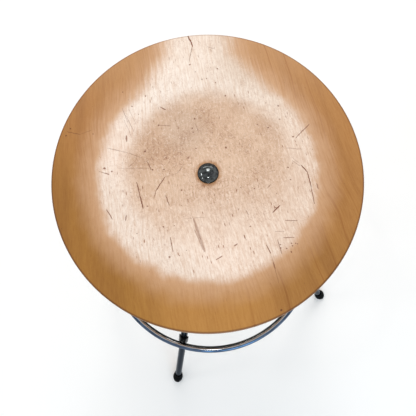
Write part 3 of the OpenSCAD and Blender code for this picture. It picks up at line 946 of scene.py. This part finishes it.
def make_nut():
    """The threaded bush in the hub's top, with its rim on the tube's end."""
    low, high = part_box("spindle_nut")
    rim_low = high.z - NUT_RIM
    chamfer = 0.6 * MM
    nut = rounded([(NUT_BORE, high.z - chamfer, 0), (NUT_BORE, low.z, 0), (NUT_RADIUS, low.z, 0),
                   (NUT_RADIUS, rim_low, 0), (high.x, rim_low, 0.4 * MM), (high.x, high.z, 0.9 * MM),
                   (NUT_BORE + chamfer, high.z, 0), (NUT_BORE, high.z - chamfer, 0)])
    piece("nut_bush", revolve(nut, 96), "base", "nut_steel", ["spindle_nut"])


def make_buffer():
    """The rubber ring that the flange comes down on, slightly waisted."""
    low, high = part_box("buffer_ring")
    middle = (low.z + high.z) / 2
    waist = 0.7 * MM
    ring = rounded([(BUFFER_BORE, middle, 0), (BUFFER_BORE, low.z, 1 * MM), (high.x, low.z, 1 * MM),
                    (high.x - waist, middle, 1 * MM), (high.x, high.z, 1.6 * MM),
                    (BUFFER_BORE, high.z, 1.4 * MM), (BUFFER_BORE, middle, 0)])
    piece("buffer_rubber", revolve(ring, 96), "base", "black_rubber", ["buffer_ring"])


def make_plug():
    """The plug in the hub's bottom end, with a shallow groove round its middle."""
    low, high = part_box("hub_plug")
    rim_top = low.z + PLUG_RIM
    groove = low.z + 0.5 * MM
    small = 0.3 * MM
    plug = rounded([(0, low.z, 0), (6 * MM, low.z, small), (6.6 * MM, groove, small),
                    (7.4 * MM, groove, small), (8 * MM, low.z, small), (high.x, low.z, 1.6 * MM),
                    (high.x, rim_top, small), (PLUG_RADIUS, rim_top, 0), (PLUG_RADIUS, high.z, 0.5 * MM),
                    (0, high.z, 0)])
    piece("plug_cap", revolve(plug, 96), "base", "black_plastic", ["hub_plug"])


# ---- legs and feet


def leg_path():
    """A leg's centre line in the XZ plane, from the hub out and down to the foot."""
    into_wall = 2 * MM
    start = HUB_RADIUS - into_wall
    bend = (FOOT_DISTANCE - LEG_TOP * tan(LEAN) - start) / (cos(LEAN) - (1 - sin(LEAN)) * tan(LEAN))
    steps = 28
    path = []
    for i in range(steps + 1):
        a = radians(90) - (radians(90) - LEAN) * i / steps
        path.append((start + bend * cos(a), 0, LEG_TOP - bend + bend * sin(a)))
    joint = Vector(path[-1])
    foot_end = Vector((FOOT_DISTANCE - LEG_END * tan(LEAN), 0, LEG_END))
    straight = 24
    path += [tuple(joint.lerp(foot_end, i / straight)) for i in range(1, straight + 1)]
    return path


def hub_weld():
    """The bead round a leg where it meets the hub, a row of small overlapping waves."""
    proud = 0.3 * MM
    path = []
    for up, y, _ in circle(LEG_RADIUS + proud, 0, 96):
        path.append((sqrt(HUB_RADIUS**2 - y**2) + proud, y, LEG_TOP + up))
    return bead(path, 1.5 * MM, 0.2 * MM, 16)


def foot_cap():
    """Rubber foot round a leg's end, cut flat on the floor: tread, round bulge, ribbed sleeve and lip."""
    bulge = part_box("foot_cap_right")[1].y - 0.1 * MM
    bore = LEG_RADIUS - 0.2 * MM
    lip = LEG_RADIUS + 1.6 * MM
    swell = 1.2 * MM
    bulge_at = CAP_LENGTH * 0.3
    sleeve_top = CAP_LENGTH - 2 * MM
    below_floor = -4 * MM
    outline = [(0.0, below_floor), (bulge - 2 * MM, below_floor)]
    steps = 14
    for i in range(steps + 1):
        t = i / steps
        outline.append((bulge - swell + swell * sin(pi / 2 * t), bulge_at * t))
    for i in range(1, steps * 2 + 1):
        t = i / steps / 2
        r = lip + (bulge - lip) * (1 + cos(pi * t)) / 2
        rib = 0.25 * MM * max(0.0, sin(t * pi * 9)) if t > 0.55 else 0
        outline.append((r - rib, bulge_at + (sleeve_top - bulge_at) * t))
    outline += [(lip - 0.3 * MM, CAP_LENGTH - 0.8 * MM), (lip - 1 * MM, CAP_LENGTH),
                (bore, CAP_LENGTH - 0.3 * MM), (bore, sleeve_top)]
    place = Matrix.Translation((FOOT_DISTANCE, 0, 0)) @ Matrix.Rotation(-LEAN, 4, "Y")
    vertices, faces = moved(revolve(outline, 64), place)
    return [(x, y, max(z, 0.0)) for x, y, z in vertices], faces


def make_legs():
    """Four legs, each with its weld and its foot."""
    leg, weld, cap = tube(leg_path(), LEG_RADIUS, 48), hub_weld(), foot_cap()
    for name, side in SIDES.items():
        piece(f"{name}_leg_tube", moved(leg, turn(side)), "base", "leg_chrome", [f"leg_{name}"])
        piece(f"{name}_leg_weld", moved(weld, turn(side)), "base", "leg_chrome",
              materials=[FINISHES["weld_metal"]])
        piece(f"{name}_foot_rubber", moved(cap, turn(side)), "base", "black_rubber", [f"foot_cap_{name}"],
              sharp=50)


# ---- foot ring


def make_ring():
    """The foot ring, and the seam at the back left where its ends are joined."""
    ring = tube(circle(RING_RADIUS, RING_HEIGHT, 360), RING_TUBE, 40, closed=True)
    piece("ring_tube", ring, "base", "ring_chrome", ["foot_ring"])
    path = [(RING_RADIUS + out, 0, RING_HEIGHT + up) for out, up, _ in circle(RING_TUBE, 0, 48)]
    seam = bead(path, 0.42 * MM, 0.08 * MM, 14, sides=10)
    piece("ring_seam", moved(seam, turn(135)), "base", "ring_chrome")


def make_ring_screws():
    """A cap screw through each leg from its inner side, into the foot ring."""
    leg_at_ring = FOOT_DISTANCE - RING_HEIGHT * tan(LEAN)
    clearance = 0.1 * MM
    inner = leg_at_ring - LEG_RADIUS / cos(LEAN) - RING_SCREW_HEAD * tan(LEAN) - clearance
    reach = RING_RADIUS - inner
    head = socket_screw(RING_SCREW_HEAD, 3 * MM, 1.9 * MM, 1.6 * MM)
    shank = [(0, -reach), (RING_SCREW_SHANK, -reach), (RING_SCREW_SHANK, 0), (0, 0)]
    place = Matrix.Translation((inner, 0, RING_HEIGHT)) @ Matrix.Rotation(-pi / 2, 4, "Y")
    screw_set("ring_screw_set", head, shank, place, SIDES.values(), "base", "ring_screws")


def finish_cad_nodes():
    """Materials for the CAD pieces that stay as they are."""
    kept = {f"ring_saddle_{name}": "black_plastic" for name in SIDES}
    kept.update(guide_disc="pale_plastic", stop_washer="plate_steel", stop_screw="screw_steel",
                nut_screw="screw_steel")
    for name, finish in kept.items():
        mesh = frame["nodes"][name].data
        mesh.materials.clear()
        mesh.materials.append(FINISHES[finish])


# ---- studio


def make_floor():
    """A plain pale floor."""
    size = 9
    mesh = bpy.data.meshes.new("studio_floor")
    corners = [(-size, -size, 0), (size, -size, 0), (size, size, 0), (-size, size, 0)]
    mesh.from_pydata(corners, [], [(0, 1, 2, 3)])
    n = Finish("floor_paint")
    base = n.mix(n.noise(n.place, 0.002, 3), colour(253, 250, 246), colour(255, 252, 248))
    mesh.materials.append(n.made(base, 0.8))
    floor = placed("studio_floor", mesh)


def make_light(name, place, target, size, watts, tint=(1, 1, 1)):
    """A rectangular lamp that faces a target."""
    lamp = bpy.data.lights.new(name, "AREA")
    lamp.shape = "RECTANGLE"
    lamp.size, lamp.size_y = size
    lamp.energy = watts
    lamp.color = tint
    thing = placed(name, lamp)
    thing.location = place
    thing.rotation_euler = (target - place).to_track_quat("-Z", "Y").to_euler()


def make_surroundings():
    """Even white surroundings, greyer overhead and at the horizon, with a plain pale backdrop."""
    world = bpy.data.worlds.new("studio")
    bpy.context.scene.world = world
    world.use_nodes = True
    world.node_tree.nodes.clear()
    n = Nodes(world.node_tree)
    up = n.parts(n.put("ShaderNodeTexCoord").outputs["Generated"])[2]
    sky = n.mix(n.step(up, 0.35, 0.9), (1, 1, 1, 1), (0.62, 0.63, 0.65, 1))
    sky = n.mix(n.step(up, 0.3, 0.1), sky, (0.42, 0.43, 0.45, 1))
    seen_direct = n.put("ShaderNodeLightPath").outputs["Is Camera Ray"]
    sky = n.mix(seen_direct, sky, (0.95, 0.95, 0.955, 1))
    background = n.put("ShaderNodeBackground", {"Color": sky, "Strength": 0.93})
    n.put("ShaderNodeOutputWorld", {"Surface": background.outputs[0]})


def make_lights():
    """A soft box overhead, small lamps that sparkle in the bolt, and a cool panel low in front."""
    seat = Vector((0, 0, RIM_TOP))
    ring = Vector((0, 0, RING_HEIGHT - 8 * MM))
    up = Vector((0, 0, 1))
    panel_turn = radians(11)
    near_right = sin(panel_turn) * SIDE - cos(panel_turn) * FAR
    make_light("soft_box", seat + 1.25 * FAR + 1.8 * up, seat, (0.85, 0.85), 12.6, (1.0, 0.99, 0.97))
    make_light("left_card", seat - 1.7 * SIDE + 0.2 * FAR + 1.3 * up, seat, (0.36, 0.16), 3)
    make_light("front_lamp", seat - 0.9 * FAR + 2.0 * up, seat, (0.16, 0.16), 3)
    make_light("high_lamp", seat + 0.9 * FAR + 1.7 * up, seat, (0.2, 0.3), 2.4)
    make_light("side_lamp", seat - 1.5 * SIDE - 0.8 * FAR + 1.3 * up, seat, (0.2, 0.2), 1.6)
    make_light("back_strip", seat + 1.9 * FAR + 0.9 * up, ring, (2.2, 0.15), 6)
    make_light("cool_panel", ring + 2.1 * near_right + 0.6 * up, ring, (1.4, 0.65), 15, (0.38, 0.72, 1.0))


def make_camera():
    """The photographer's view: almost straight down, from a little in front of the stool."""
    camera = bpy.data.cameras.new("photo_camera")
    camera.lens = 53.1
    camera.sensor_width = 36
    camera.shift_x = -0.029
    camera.shift_y = -0.101
    thing = placed("photo_camera", camera)
    forward_of_axis, above_rim = 0.2272, 0.7104
    place = -FAR * forward_of_axis + Vector((0, 0, RIM_TOP + above_rim))
    target = Vector((0.0119, 0.0113, RIM_TOP))
    look = (target - place).normalized()
    roll = radians(2.2)
    right = look.cross(FAR).normalized()
    up = right.cross(look)
    rolled_up = up * cos(roll) + right * sin(roll)
    rolled_right = look.cross(rolled_up)
    turned = Matrix((rolled_right, rolled_up, -look)).transposed()
    thing.matrix_world = Matrix.Translation(place) @ turned.to_4x4()
    bpy.context.scene.camera = thing


make_seat()
make_bolt()
make_flange()
make_flange_screws()
make_spindle()
make_hub()
make_nut()
make_buffer()
make_plug()
make_legs()
make_ring()
make_ring_screws()
finish_cad_nodes()
make_floor()
make_surroundings()
make_lights()
make_camera()
bpy.context.scene.view_settings.view_transform = "Standard"
